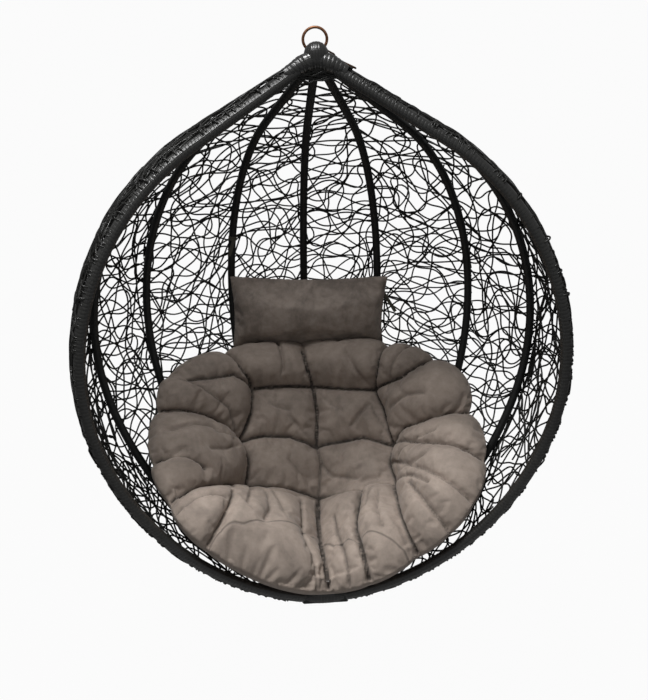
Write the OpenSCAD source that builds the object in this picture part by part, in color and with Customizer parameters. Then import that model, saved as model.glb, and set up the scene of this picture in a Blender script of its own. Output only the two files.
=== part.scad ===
// Hanging egg chair: a teardrop cage of bent steel tubes under a ring, wound with
// flat strip round the front hoop and woven with round strand between the ribs,
// with a tufted round seat cushion, a tied headrest pillow and two spare chain links.
//
// Frame: the origin is where a hook bears inside the hanging ring, +Z up, the
// chair's opening faces -Y. The cage is drawn upright about its own axis, apex at
// zero, and is then leaned back about the ring so that it hangs in balance.

/* [Cage] */
// Slope of the tubes at the apex, from straight down
apex_angle = 59; // [55:0.5:63]
// Bend radius of the shoulders
shoulder_r = 548; // [520:1:580]
// Turn of the shoulder bend
shoulder_turn = 79.5; // [76:0.5:83]
// Bend radius of the bowl
bowl_r = 720; // [690:1:750]
// Turn of the bowl bend
bowl_turn = 52; // [48:0.5:55]
// Bend radius at the foot, where the tubes run level to the axis
foot_r = 150; // [140:1:160]
// How far the hung chair leans back
lean = 9.2; // [8:0.1:11]

/* [Tubes] */
// Outer diameter of a rib
rib_d = 19; // [18:0.5:20]
// Outer diameter of the front hoop's tube
hoop_d = 22; // [20:0.5:23]
// Wall of every tube
tube_wall = 1.5; // [1.2:0.1:2]
// Bearing of the first ribs from straight back
rib_1_bearing = 21; // [20:0.5:22]
// Bearing of the second ribs
rib_2_bearing = 49; // [47:0.5:51]
// Bearing of the third ribs
rib_3_bearing = 73.5; // [71:0.5:76]
// Bearing of the two halves of the front hoop
hoop_bearing = 106.7; // [104:0.1:109]

/* [Weave] */
// Thickness of the strip wound round the hoop
strip_t = 1.6; // [1:0.1:2]
// Width of a woven strand
strand_w = 4; // [3:0.5:5]
// Rows of gaps in each band of a net
band_rows = 3; // [2:1:3]
// Bands in each net, from apex to foot
bands = 5; // [4:1:5]

/* [Hanging] */
// Diameter of the hanging ring's wire
ring_wire = 6; // [5:0.5:7]
// Outer diameter of the hanging ring
ring_d = 56; // [54:1:60]
// Diameter of the rod bent into the crown eye
eye_rod = 8; // [7:0.5:8]
// Wire diameter of a chain link
link_wire = 4; // [3.5:0.5:4]
// Length of a chain link
link_length = 58; // [54:1:60]
// Width of a chain link
link_width = 17.5; // [17:0.5:18]
// Slope of the first spare link, which leans out from the eye
link_1_slope = 29; // [26:1:30]
// Slope of the second link, which lies on the shoulder
link_2_slope = 26; // [24:1:28]

/* [Seat cushion] */
// Thickness of the puffed outer segments at the back
cushion_back_t = 128; // [110:1:140]
// Thickness of the puffed outer segments at the front
cushion_front_t = 160; // [140:1:170]
// Thickness of the inner pads at their crowns
pad_t = 112; // [95:1:120]
// Depth of the sewn channels between the inner pads
tuft_depth = 34; // [20:1:40]
// Depth of the channels between the puffed segments
channel_depth = 46; // [30:1:55]

/* [Headrest pillow] */
// Width of the pillow
pillow_w = 414; // [390:1:420]
// Height of the pillow
pillow_h = 192; // [170:1:200]
// Thickness of the pillow at its crown
pillow_t = 96; // [80:1:100]

/* [Hidden] */
$fn = 64;
hang_gap = 0.3;          // play where one hung piece bears on another
skin_gap = 0.1;          // play between the wound strip and its tube
knuckle = 0.05;          // how far the welds between two bends stand proud
end_cap = 1.5;           // tubes are closed at both ends by this much metal
rib_r = rib_d / 2;
hoop_r = hoop_d / 2;
strip_r = hoop_r + strip_t;

// The bends of a tube, each [radius, turn]; the last one brings it level to the axis.
foot_turn = apex_angle + 90 - shoulder_turn - bowl_turn;
bends = [[shoulder_r, shoulder_turn], [bowl_r, bowl_turn], [foot_r, foot_turn]];

// A place on a tube's centre line is [distance from the axis, height, heading from
// straight down]. A bend of radius r keeps its centre on the axis side of the tube.
function bend_centre(p, r) = [p[0] - r * cos(p[2]), p[1] - r * sin(p[2])];
function after_bend(p, r, t) =
    let (c = bend_centre(p, r)) [c[0] + r * cos(p[2] - t), c[1] + r * sin(p[2] - t), p[2] - t];
function after_slope(l) = [l * sin(apex_angle), -l * cos(apex_angle), apex_angle];
function bend_start(i, l) =
    i == 0 ? after_slope(l) : after_bend(bend_start(i - 1, l), bends[i - 1][0], bends[i - 1][1]);
slope_l = -bend_start(3, 0)[0] / sin(apex_angle);
starts = [for (i = [0:3]) bend_start(i, slope_l)];
cage_h = -starts[3][1];
arc_l = [for (b = bends) b[0] * b[1] * PI / 180];

// The place at a distance s along the centre line from the apex.
function place(s) =
    s < slope_l ? after_slope(s)
    : s < slope_l + arc_l[0] ? after_bend(starts[0], shoulder_r, (s - slope_l) / shoulder_r * 180 / PI)
    : after_bend(starts[1], bowl_r, (s - slope_l - arc_l[0]) / bowl_r * 180 / PI);

// The tubes run between two hubs, where they first have room beside each other.
hub_r = 53;
first_s = hub_r / sin(apex_angle);
foot_front = 12;         // the foot's flat front stands this far before the hoop's line
foot_dish = 8;           // its hollow lies this far behind the axis
bowl_cut = 0.67;         // the last of the bowl bend, in degrees, lies inside the foot hub
foot_place = after_bend(starts[1], bowl_r, bowl_turn - bowl_cut);
last_s = slope_l + arc_l[0] + bowl_r * (bowl_turn - bowl_cut) * PI / 180;

post_r = 23;             // the crown's post, which the dome caps
post_top = 7;
dome_t = 2.3;            // the wound cap over the post
ring_y = 32;             // the ring hangs this far behind the axis
ring_r = (ring_d - ring_wire) / 2;
wire_z = 9.5;            // height of the ring's lowest wire above the apex
bar_z = wire_z + ring_wire / 2 + eye_rod / 2 + hang_gap;
eye_bend = 8;
eye_front = -10;         // the eye's two legs, front and back of the ring
eye_back = 22;
link_y = 13.5;            // the first link hangs behind the ring

// ---- placing ----

// Children are drawn about the cage's axis and come back hung on the ring.
module hung() {
    translate([0, 0, ring_wire / 2 - ring_r - ring_r]) rotate([-lean, 0, 0])
        translate([0, -ring_y, -wire_z]) children();
}

// Children are drawn in the XZ plane and are turned to a bearing from straight back.
module bearing(b) { rotate([0, 0, 90 - b]) children(); }

// ---- tubes ----

module slope_bar(r, inset) {
    rotate([0, 180 - apex_angle, 0]) translate([0, 0, first_s + inset])
        cylinder(h = slope_l - first_s - inset, r = r);
}

module bend_bar(i, r, turn) {
    c = bend_centre(starts[i], bends[i][0]);
    translate([c[0], 0, c[1]]) rotate([90, 0, 0]) rotate([0, 0, starts[i][2] - turn])
        rotate_extrude(angle = turn, $fn = 96) translate([bends[i][0], 0]) circle(r = r);
}

// One bar of radius r from hub to hub, with both ends drawn back by inset.
module bar(r, inset = 0) {
    slope_bar(r, inset);
    bend_bar(0, r, shoulder_turn);
    bend_bar(1, r, bowl_turn - bowl_cut - inset / bowl_r * 180 / PI);
    for (i = [0:1]) translate([starts[i][0], 0, starts[i][1]]) sphere(r = r + knuckle);
}

module rib(b) {
    color("#1c1c1c") hung() bearing(b) difference() {
        bar(rib_r);
        bar(rib_r - tube_wall, end_cap);
    }
}

module hoop(b) {
    color("#222222") hung() bearing(b) difference() {
        bar(hoop_r);
        bar(hoop_r - tube_wall, end_cap);
    }
}

module hoop_wrap(b) {
    color("#2b2b29") hung() bearing(b) difference() {
        bar(strip_r);
        bar(hoop_r + skin_gap, -end_cap);
    }
}

// ---- hubs, cap and eye ----

// The side of a hub is square to the tubes that are welded to it, and stands a
// little past their ends, with a socket for each.
socket = 2.5;
weld_gap = 0.05;
function hub_edge(p, d, past) = [p[0] + past * sin(p[2]) + d * cos(p[2]), p[1] - past * cos(p[2]) + d * sin(p[2])];

// Short lengths of every tube, grown by the weld gap, running out of a hub from p.
module sockets(p, away) {
    for (k = [-1, 1], b = [rib_1_bearing, rib_2_bearing, rib_3_bearing, hoop_bearing])
        bearing(k * b) tube_end(p, away, b == hoop_bearing ? strip_r : rib_r);
    bearing(0) tube_end(p, away, rib_r);
}

module tube_end(p, away, r) {
    translate([p[0], 0, p[1]]) rotate([0, away - p[2], 0]) cylinder(h = 12, r = r + weld_gap);
}

module crown_hub() {
    start = place(first_s);
    low = hub_edge(start, -strip_r, socket);
    high = hub_edge(start, rib_r, socket);
    wall = 3.5;
    top = high[1] + (high[0] - post_r) / tan(apex_angle);
    color("#1c1c1c") hung() difference() {
        union() {
            translate([0, 0, low[1]]) cylinder(h = high[1] - low[1], r1 = low[0], r2 = high[0]);
            translate([0, 0, high[1]]) cylinder(h = top - high[1], r1 = high[0], r2 = post_r);
            cylinder(h = post_top, r = post_r);
            translate([0, 0, post_top]) sphere(r = post_r);
        }
        sockets(start, 180);
        translate([0, 0, low[1] - wall])
            cylinder(h = high[1] - low[1], r1 = low[0] - socket - 2 * wall, r2 = high[0] - socket - 2 * wall);
        translate([0, 0, high[1] - wall - knuckle])
            cylinder(h = top - high[1], r1 = high[0] - socket - 2 * wall, r2 = post_r - socket - 2 * wall);
        cylinder(h = post_top, r = post_r - 2 * wall);
        translate([0, 0, post_top]) sphere(r = post_r - 2 * wall);
    }
}

module crown_cap() {
    base = 2;
    color("#55554f") hung() difference() {
        union() {
            translate([0, 0, base]) cylinder(h = post_top - base, r = post_r + dome_t);
            translate([0, 0, post_top]) sphere(r = post_r + dome_t);
        }
        cylinder(h = post_top, r = post_r + skin_gap);
        translate([0, 0, post_top]) sphere(r = post_r + skin_gap);
        translate([0, 0, base - post_r * 2]) cylinder(h = post_r * 2, r = post_r * 2);
        eye_path(skin_gap);
    }
}

// The rod: a level bar over the ring's wire, two bends, and legs down to the hub.
module eye_path(grow = 0) {
    r = eye_rod / 2 + grow;
    leg_foot = -30;
    bend_z = bar_z - eye_bend;
    translate([0, ring_y, 0]) {
        translate([0, eye_front + eye_bend, bar_z]) rotate([-90, 0, 0])
            cylinder(h = eye_back - eye_front - 2 * eye_bend, r = r);
        for (side = [[eye_front + eye_bend, 1], [eye_back - eye_bend, 0]])
            translate([0, side[0], bend_z]) rotate([90, 0, 90]) rotate([0, 0, 90 * side[1]])
                rotate_extrude(angle = 90) translate([eye_bend, 0]) circle(r = r);
        for (y = [eye_front, eye_back]) translate([0, y, leg_foot]) cylinder(h = bend_z - leg_foot, r = r);
        for (y = [eye_front + eye_bend, eye_back - eye_bend]) translate([0, y, bar_z]) sphere(r = r + knuckle);
        for (y = [eye_front, eye_back]) translate([0, y, bend_z]) sphere(r = r + knuckle);
    }
}

module crown_eye() {
    high = hub_edge(place(first_s), rib_r, socket);
    color("#4a3a30") hung() difference() {
        eye_path();
        cylinder(h = post_top, r = post_r);
        translate([0, 0, post_top]) sphere(r = post_r);
        translate([0, 0, high[1]])
            cylinder(h = (high[0] - post_r) / tan(apex_angle), r1 = high[0], r2 = post_r);
        translate([0, 0, high[1] - 2 * hub_r]) cylinder(h = 2 * hub_r, r = 2 * hub_r);
    }
}

// The foot is a drum cut flat along its front, with the ribs and the two halves of
// the hoop let into its side.
module foot_hub() {
    low = hub_edge(foot_place, strip_r, -socket);
    high = hub_edge(foot_place, -strip_r, -socket);
    front = -low[0] * cos(180 - hoop_bearing) - foot_front;
    color("#1c1c1c") hung() difference() {
        translate([0, 0, low[1]]) cylinder(h = high[1] - low[1], r1 = low[0], r2 = high[0]);
        sockets(foot_place, 0);
        translate([-low[0] * 2, front - low[0] * 2, low[1] - strip_r])
            cube([low[0] * 4, low[0] * 2, strip_r * 4]);
        translate([0, foot_dish, low[1] + 5]) cylinder(h = strip_r * 2, r = low[0] - 17);
    }
}

// ---- ring and chain ----

module hanging_ring() {
    color("#8a6a55") translate([0, 0, ring_wire / 2 - ring_r]) rotate([90, 0, 0])
        rotate_extrude($fn = 96) translate([ring_r, 0]) circle(d = ring_wire);
}

// A link with its length along +X and its flat in the XZ plane, the wire of its
// near end crossing the origin.
module link() {
    bend = (link_width - link_wire) / 2;
    straight = link_length - link_width;
    r = link_wire / 2;
    translate([bend, 0, 0]) {
        for (end = [[0, 90], [straight, -90]]) translate([end[0], 0, 0]) rotate([90, 0, 0])
            rotate([0, 0, end[1]]) rotate_extrude(angle = 180) translate([bend, 0]) circle(r = r);
        for (side = [-1, 1]) translate([0, 0, side * bend]) rotate([0, 90, 0])
            cylinder(h = straight, r = r);
    }
}

// The near wire of the first link bears on the far side of the eye's bar.
link_1_back = eye_rod / 2 + link_wire / 2 + hang_gap;
// The second link's near wire bears inside the first link's far end.
link_2_out = link_length - 2 * link_wire - hang_gap - link_1_back;

module chain_link_1() {
    color("#5d4636") hung() translate([0, ring_y + link_y, bar_z]) rotate([0, link_1_slope, 0])
        translate([-link_1_back, 0, 0]) link();
}

module chain_link_2() {
    color("#5d4636") hung() translate([0, ring_y + link_y, bar_z]) rotate([0, link_1_slope, 0])
        translate([link_2_out, 0, 0]) rotate([0, link_2_slope - link_1_slope, 0]) rotate([90, 0, 0]) link();
}

// ---- nets ----

function facing(b) = [sin(b), cos(b)];
function wobble(i, j, k) = sin(157 * i + 211 * j + 83 * k + 40 * sin(97 * i - 61 * j));

// Where a net starts and ends along the tubes, clear of both hubs.
net_first = first_s + 12;
net_last = last_s - 10;
rows = band_rows * bands;
cols = 2;                // gaps across a net

// A net between two tubes: b is the pair of bearings, side and lift the pair of
// distances of its edges from the tubes' centre lines, along the net and outward.
function net_point(b, side, lift, u, v, out) =
    let (p = place(net_first + (net_last - net_first) * v),
         bow = 0.2,
         away = lift[0] + (lift[1] - lift[0]) * u + out,
         r = p[0] + away * cos(p[2]),
         inset = [for (k = [0, 1]) side[k] / p[0] * 180 / PI],
         from = facing(b[0] + inset[0]),
         to = facing(b[1] - inset[1]),
         d = from + (to - from) * u,
         k = norm(d),
         f = d / k * (k + bow * (1 - k)))
    [r * f[0], r * f[1], p[1] + away * sin(p[2])];

// Knots of the net are shifted off the grid, except along its edges.
function knot(seed, i, j) =
    let (loose_u = i > 0 && i < cols ? 0.25 : 0, loose_v = i > 0 && i < cols && j > 0 && j < rows ? 0.35 : 0)
    [(i + loose_u * wobble(i, j, seed)) / cols, (j + loose_v * wobble(j, i, seed + 5)) / rows];

function unit(v) = v / norm(v);

// The corner of a gap: both of its strands are half a strand wide on this side.
function gap_corner(c, a, b) =
    let (e = unit(a - c), f = unit(b - c)) c + strand_w / 2 * (e + f) / norm(cross(e, f));

module net_band(b, side, lift, seed, first_row) {
    half_t = strand_w / 2;
    split = 0.005;       // each band stops this share of a row short of the next
    grid = [for (j = [0:band_rows], i = [0:cols]) knot(seed, i, first_row + j)];
    edge_v = [for (j = [0:band_rows]) (j == 0 ? split : j == band_rows ? -split : 0) / rows];
    function at(i, j, out) = let (k = grid[j * (cols + 1) + i])
        net_point(b, side, lift, k[0], k[1] + edge_v[j], out);
    n = (cols + 1) * (band_rows + 1);
    outer = [for (j = [0:band_rows], i = [0:cols]) at(i, j, half_t)];
    inner = [for (j = [0:band_rows], i = [0:cols]) at(i, j, -half_t)];
    gaps = [for (j = [0:band_rows - 1], i = [0:cols - 1])
        let (q = [at(i, j, 0), at(i + 1, j, 0), at(i + 1, j + 1, 0), at(i, j + 1, 0)])
        for (k = [0:3]) gap_corner(q[k], q[(k + 1) % 4], q[(k + 3) % 4])];
    faces = concat(
        [for (j = [0:band_rows - 1], i = [0:cols - 1])
            let (c = 2 * n + 4 * (j * cols + i), w = cols + 1,
                 q = [j * w + i, j * w + i + 1, (j + 1) * w + i + 1, (j + 1) * w + i])
            for (k = [0:3]) let (m = (k + 1) % 4)
            each [[q[m], q[k], c + m], [c + m, q[k], c + k],
                  [n + q[k], n + q[m], c + k], [c + k, n + q[m], c + m]]],
        [for (i = [0:cols - 1]) each [[i, i + 1, n + i], [n + i, i + 1, n + i + 1]]],
        [for (i = [0:cols - 1]) let (a = band_rows * (cols + 1) + i)
            each [[a + 1, a, n + a + 1], [n + a + 1, a, n + a]]],
        [for (j = [0:band_rows - 1]) let (a = j * (cols + 1), c = a + cols + 1)
            each [[c, a, n + c], [n + c, a, n + a]]],
        [for (j = [0:band_rows - 1]) let (a = j * (cols + 1) + cols, c = a + cols + 1)
            each [[a, c, n + a], [n + a, c, n + c]]]);
    polyhedron(points = concat(outer, inner, gaps), faces = faces, convexity = 8);
}

chord_gap = 2;           // how far a row's straight edge falls inside the tube's bend
on_rib = [3.6, rib_r + strand_w / 2 + chord_gap];  // an edge strand lies on the back of a rib
on_hoop = [11.2, 9.6 + chord_gap];       // or on the inner back of the wound hoop

module net(b, first, second, seed) {
    color("#161616") hung() for (k = [0:bands - 1])
        net_band(b, [first[0], second[0]], [first[1], second[1]], seed, k * band_rows);
}

module net_right(k) {
    edge = [0, rib_1_bearing, rib_2_bearing, rib_3_bearing, hoop_bearing];
    net([edge[k - 1], edge[k]], on_rib, k == 4 ? on_hoop : on_rib, k + 3);
}

module net_left(k) { mirror([1, 0, 0]) net_right(k); }

// ---- seat cushion ----

// The cushion is laid out on rays from a point on the axis: aim is the ray through
// its middle, and a ray is told by two angles, across and up, in its round outline.
fan_z = -650;
aim = -55;
bowl_gap = 5;

function bowl_radius(z) =
    let (i = z > starts[1][1] ? 0 : 1, c = bend_centre(starts[i], bends[i][0]), h = z - c[1])
    c[0] + sqrt(max(0, pow(bends[i][0], 2) - h * h));

// A unit ray, from its angles across and up.
function ray(a) =
    let (t = norm(a), s = t > 0 ? sin(t) / t : 0, x = s * a[0], u = s * a[1], f = cos(t))
    [x, f * cos(aim) - u * sin(aim), f * sin(aim) + u * cos(aim)];

// How far a ray runs before it meets the inside of the cage, by halving.
function reach(d, lo = 300, hi = 700, n = 22) =
    let (t = (lo + hi) / 2, z = fan_z + t * d[2],
         out = z < -cage_h + strip_r || norm([d[0], d[1]]) * t > bowl_radius(z) - strip_r)
    n == 0 ? t : out ? reach(d, lo, t, n - 1) : reach(d, t, hi, n - 1);

tuft_x = 24;             // across angle of the outer tufts
tuft_up = [-13.5, 3, 24];  // up angles of the three rows of tufts
side_span = 57;          // angles from the middle to the edge
back_span = 39;
front_span = 50;
front_notch = 0.16;      // how far the front is parted in the middle
edge_share = [0.25, 0.4];    // the rim's seam lies at this share of its thickness, front and back
crest = 0.42;            // the puffed segments are highest this far out

// Ring 0 to 1 spans the inner pads, ring 1 to 2 the puffed segments round them.
function seam(th) = abs(sin(4 * th));
function squared(x, front) = sign(x) * pow(abs(x), front ? 0.52 : 0.92);
function edge_angles(th) =
    let (s = sin(th), drawn_in = 1 - 0.035 * (1 - seam(th)) - front_notch * pow(max(0, -s), 300))
    drawn_in * [side_span * squared(cos(th), s < 0), (s > 0 ? back_span : front_span) * squared(s, s < 0)];
function square_angles(th) =
    let (c = cos(th), s = sin(th), m = max(abs(c), abs(s)), v = s / m)
    [tuft_x * c / m * (1 - 0.05 * v), v > 0 ? tuft_up[1] + v * (tuft_up[2] - tuft_up[1]) : tuft_up[1] + v * (tuft_up[1] - tuft_up[0])];
function lay(th, t) =
    t <= 1 ? [0, tuft_up[1]] + t * (square_angles(th) - [0, tuft_up[1]])
    : square_angles(th) + (t - 1) * (edge_angles(th) - square_angles(th));

function hump(x) = pow(max(0, sin(180 * x)), 0.65);
function from_back(th) = (1 - sin(th)) / 2;
function segment_t(th) = cushion_back_t + (cushion_front_t - cushion_back_t) * from_back(th);
function rim_t(th) = (edge_share[1] + (edge_share[0] - edge_share[1]) * from_back(th)) * segment_t(th);

// Height of the upper face above the bowl. Channels run between the pads, round
// them, and out between the eight segments.
function upper(th, t) =
    let (c = cos(th), s = sin(th), m = max(abs(c), abs(s)), k = t - 1,
         pad = t <= 1 ? hump(t * abs(c) / m) * hump(t * abs(s) / m) : 0,
         groove = pad_t - tuft_depth,
         full = segment_t(th) - channel_depth * (1 - pow(seam(th), 0.6)) * (1 - 0.5 * max(0, k)))
    t <= 1 ? groove + tuft_depth * pad
    : k < crest ? groove + (full - groove) * pow(sin(90 * k / crest), 0.7)
    : rim_t(th) + (full - rim_t(th)) * sqrt(max(0, 1 - pow((k - crest) / (1 - crest), 2)));
function lower(th, t) =
    let (k = max(0, t - 1)) bowl_gap + (rim_t(th) - bowl_gap) * (1 - sqrt(max(0, 1 - k * k)));

function on_ray(a, h) = let (d = ray(a)) [0, 0, fan_z] + d * (reach(d) - h);

module seat_cushion() {
    spokes = 64;
    tops = [0.25, 0.5, 0.75, 1, 1.1, 1.25, 1.42, 1.6, 1.78, 1.9, 1.97];
    backs = [1.97, 1.87, 1.65, 1.3, 0.65];
    turn = 360 / spokes;
    middle = [0, tuft_up[1]];
    nt = len(tops);
    nb = len(backs);
    points = concat(
        [for (t = tops, k = [0:spokes - 1]) on_ray(lay(k * turn, t), upper(k * turn, t))],
        [for (k = [0:spokes - 1]) on_ray(lay(k * turn, 2), upper(k * turn, 2))],
        [for (t = backs, k = [0:spokes - 1]) on_ray(lay(k * turn, t), lower(k * turn, t))],
        [on_ray(middle, upper(0, 0)), on_ray(middle, lower(0, 0))]);
    rings = nt + 1 + nb;
    faces = concat(
        [for (r = [0:rings - 2], k = [0:spokes - 1])
            let (m = (k + 1) % spokes, a = r * spokes + k, b = r * spokes + m, c = a + spokes, d = b + spokes)
            each [[c, a, d], [d, a, b]]],
        [for (k = [0:spokes - 1]) let (m = (k + 1) % spokes) [rings * spokes, m, k]],
        [for (k = [0:spokes - 1]) let (m = (k + 1) % spokes, z = (rings - 1) * spokes)
            [rings * spokes + 1, z + k, z + m]]);
    color("#6f625a") hung() polyhedron(points = points, faces = faces, convexity = 6);
}

// ---- headrest pillow ----

pillow_at = [5, 452, -676];
pillow_roll = 2;         // its right side hangs lower

// Half thickness over the pillow's face: full in the middle, closed along the edge.
function pillow_half(x, z) = pillow_t / 2 * pow(max(0, (1 - pow(x, 4)) * (1 - pow(z, 4))), 0.5);
// The edge is drawn in between the corners.
function pillow_x(x, z) = x * pillow_w / 2 * (1 - 0.045 * (1 - z * z)) * (1 - 0.02 * (1 - z));
function pillow_z(x, z) = z * pillow_h / 2 * (1 - 0.075 * (1 - x * x));

module headrest_pillow() {
    nx = 18;
    nz = 10;
    function ease(k, n) = sin(90 * (2 * k / n - 1));
    front = [for (j = [0:nz], i = [0:nx]) let (x = ease(i, nx), z = ease(j, nz))
        [pillow_x(x, z), -pillow_half(x, z), pillow_z(x, z)]];
    back = [for (j = [1:nz - 1], i = [1:nx - 1]) let (x = ease(i, nx), z = ease(j, nz))
        [pillow_x(x, z), pillow_half(x, z), pillow_z(x, z)]];
    w = nx + 1;
    function front_at(i, j) = j * w + i;
    function back_at(i, j) = i == 0 || i == nx || j == 0 || j == nz ? front_at(i, j)
        : w * (nz + 1) + (j - 1) * (nx - 1) + i - 1;
    // Every cell is halved toward the pillow's middle, so that its corners stay open.
    function halved(a, b, c, d, i, j) =
        (i < nx / 2) == (j < nz / 2) ? [[a, d, c], [a, c, b]] : [[a, d, b], [b, d, c]];
    faces = [for (j = [0:nz - 1], i = [0:nx - 1])
        each concat(
            halved(front_at(i, j), front_at(i + 1, j), front_at(i + 1, j + 1), front_at(i, j + 1), i, j),
            [for (t = halved(back_at(i, j), back_at(i + 1, j), back_at(i + 1, j + 1), back_at(i, j + 1), i, j))
                [t[0], t[2], t[1]]])];
    color("#6b5f57") hung() translate(pillow_at) rotate([0, pillow_roll, 0])
        polyhedron(points = concat(front, back), faces = faces, convexity = 4);
}

// ---- pillow ties ----

// A strap half round a rib on the seat side, s along the tube, with flat tails.
module tie(b, s, tails) {
    p = place(s);
    strap_w = 11;
    strap_t = 1.4;
    tail_w = 9;
    r = rib_r + 0.4;
    color("#4d4944") hung() bearing(b) translate([p[0], 0, p[1]]) rotate([0, -p[2], 0]) {
        translate([0, 0, -strap_w / 2]) rotate([0, 0, 90]) rotate_extrude(angle = 180)
            translate([r, 0]) square([strap_t, strap_w]);
        for (t = tails) translate([-r - strap_t - 0.6, 0, 0]) rotate([t[0], 0, 0]) rotate([0, 4, 0])
            translate([0, -tail_w / 2, -t[1]]) cube([strap_t, tail_w, t[1]]);
    }
}

module pillow_tie_left() { tie(-rib_1_bearing, 735, [[14, 48]]); }
module pillow_tie_right() { tie(rib_1_bearing, 870, [[-34, 96]]); }

// ---- the part ----

hanging_ring();
crown_hub();
crown_cap();
crown_eye();
foot_hub();
hoop(-hoop_bearing);  // hoop_left
hoop(hoop_bearing);  // hoop_right
hoop_wrap(-hoop_bearing);  // hoop_wrap_left
hoop_wrap(hoop_bearing);  // hoop_wrap_right
rib(0);  // rib_centre
rib(-rib_1_bearing);  // rib_left_1
rib(-rib_2_bearing);  // rib_left_2
rib(-rib_3_bearing);  // rib_left_3
rib(rib_1_bearing);  // rib_right_1
rib(rib_2_bearing);  // rib_right_2
rib(rib_3_bearing);  // rib_right_3
net_left(1);  // net_left_1
net_left(2);  // net_left_2
net_left(3);  // net_left_3
net_left(4);  // net_left_4
net_right(1);  // net_right_1
net_right(2);  // net_right_2
net_right(3);  // net_right_3
net_right(4);  // net_right_4
pillow_tie_left();
pillow_tie_right();
chain_link_1();
chain_link_2();
seat_cushion();
headrest_pillow();
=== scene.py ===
"""Looks for a hanging egg chair, built round its packed steel cage.

The cage is drawn upright about its own axis, apex at the origin, and is then hung back on
its ring by HUNG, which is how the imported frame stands.
"""

import math
import random

import bmesh
import bpy
from mathutils import Matrix, Vector, noise


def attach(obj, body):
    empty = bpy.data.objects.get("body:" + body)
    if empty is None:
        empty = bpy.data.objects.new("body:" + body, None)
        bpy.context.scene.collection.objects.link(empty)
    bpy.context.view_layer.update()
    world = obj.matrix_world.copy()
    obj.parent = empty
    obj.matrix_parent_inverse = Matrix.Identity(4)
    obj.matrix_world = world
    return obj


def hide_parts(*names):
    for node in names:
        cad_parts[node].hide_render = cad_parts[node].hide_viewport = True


bl_info = {
    "name": "Hanging Egg Chair",
    "version": (1, 0, 0),
    "blender": (4, 5, 0),
    "location": "View3D > Sidebar > Egg Chair",
    "description": "Winds, weaves, upholsters and lights a hanging egg chair",
    "category": "Object",
}

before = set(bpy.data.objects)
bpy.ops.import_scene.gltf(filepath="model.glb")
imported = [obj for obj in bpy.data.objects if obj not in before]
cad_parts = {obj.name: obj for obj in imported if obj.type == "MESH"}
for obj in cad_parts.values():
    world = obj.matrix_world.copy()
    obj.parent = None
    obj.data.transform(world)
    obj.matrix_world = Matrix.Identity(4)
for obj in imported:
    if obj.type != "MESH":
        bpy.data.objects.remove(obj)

# ---- the cage ----

MM = 0.001
APEX = math.radians(59)
SHOULDER = (548 * MM, math.radians(79.5))
BOWL = (720 * MM, math.radians(52))
FOOT = (150 * MM, math.radians(17.5))
RIBS = [math.radians(b) for b in (-73.5, -49, -21, 0, 21, 49, 73.5)]
HOOP = math.radians(106.7)
EDGES = [-HOOP] + RIBS + [HOOP]
RIB_R = 9.5 * MM
HOOP_R = 11 * MM
STRIP_R = 12.6 * MM
LEAN = math.radians(9.2)
RING_Y = 32 * MM
WIRE_Z = 9.5 * MM
RING_DROP = 47 * MM
HUNG = (
    Matrix.Translation((0, 0, -RING_DROP))
    @ Matrix.Rotation(-LEAN, 4, "X")
    @ Matrix.Translation((0, -RING_Y, -WIRE_Z))
)


def bend_centre(p, r):
    return p[0] - r * math.cos(p[2]), p[1] - r * math.sin(p[2])


def after_bend(p, r, turn):
    c = bend_centre(p, r)
    a = p[2] - turn
    return c[0] + r * math.cos(a), c[1] + r * math.sin(a), a


def after_slope(length):
    return length * math.sin(APEX), -length * math.cos(APEX), APEX


def drift(length):
    """How far from the axis the tube would end after all its bends."""
    p = after_slope(length)
    for r, turn in (SHOULDER, BOWL, FOOT):
        p = after_bend(p, r, turn)
    return p[0]


SLOPE_L = -drift(0) / math.sin(APEX)
START_1 = after_slope(SLOPE_L)
START_2 = after_bend(START_1, *SHOULDER)
SHOULDER_L = SHOULDER[0] * SHOULDER[1]
CAGE_H = -after_bend(after_bend(START_2, *BOWL), *FOOT)[1]
BOWL_SEEN = math.radians(51.33)
LAST_S = SLOPE_L + SHOULDER_L + BOWL[0] * BOWL_SEEN


def place(s):
    """Distance from the axis, height and heading of the tubes' centre line, s along it."""
    if s < SLOPE_L:
        return after_slope(s)
    if s < SLOPE_L + SHOULDER_L:
        return after_bend(START_1, SHOULDER[0], (s - SLOPE_L) / SHOULDER[0])
    return after_bend(START_2, BOWL[0], (s - SLOPE_L - SHOULDER_L) / BOWL[0])


def facing(bearing):
    return Vector((math.sin(bearing), math.cos(bearing), 0))


def station(s, bearing):
    """Centre, outward, across and along directions of a tube."""
    r, z, h = place(s)
    f = facing(bearing)
    up = Vector((0, 0, 1))
    out = f * math.cos(h) + up * math.sin(h)
    across = Vector((math.cos(bearing), -math.sin(bearing), 0))
    return f * r + up * z, out, across, f * math.sin(h) - up * math.cos(h)


def smooth(x, low, high):
    k = min(1, max(0, (x - low) / (high - low)))
    return k * k * (3 - 2 * k)


# ---- meshes and objects ----


def put_in_scene(name, data):
    obj = bpy.data.objects.new(name, data)
    bpy.context.scene.collection.objects.link(obj)
    return obj


def mesh_of(name, bm):
    mesh = bpy.data.meshes.new(name)
    bm.to_mesh(mesh)
    bm.free()
    return mesh


def evaluated_mesh(obj):
    """A new mesh of the object as its modifiers leave it."""
    return bpy.data.meshes.new_from_object(obj.evaluated_get(bpy.context.evaluated_depsgraph_get()))


def finish_mesh(name, bm, material, shade=True):
    """Turns a bmesh drawn about the cage's axis into an object hung on the ring."""
    bmesh.ops.recalc_face_normals(bm, faces=bm.faces)
    return finish_object(name, mesh_of(name, bm), material, shade)


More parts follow.
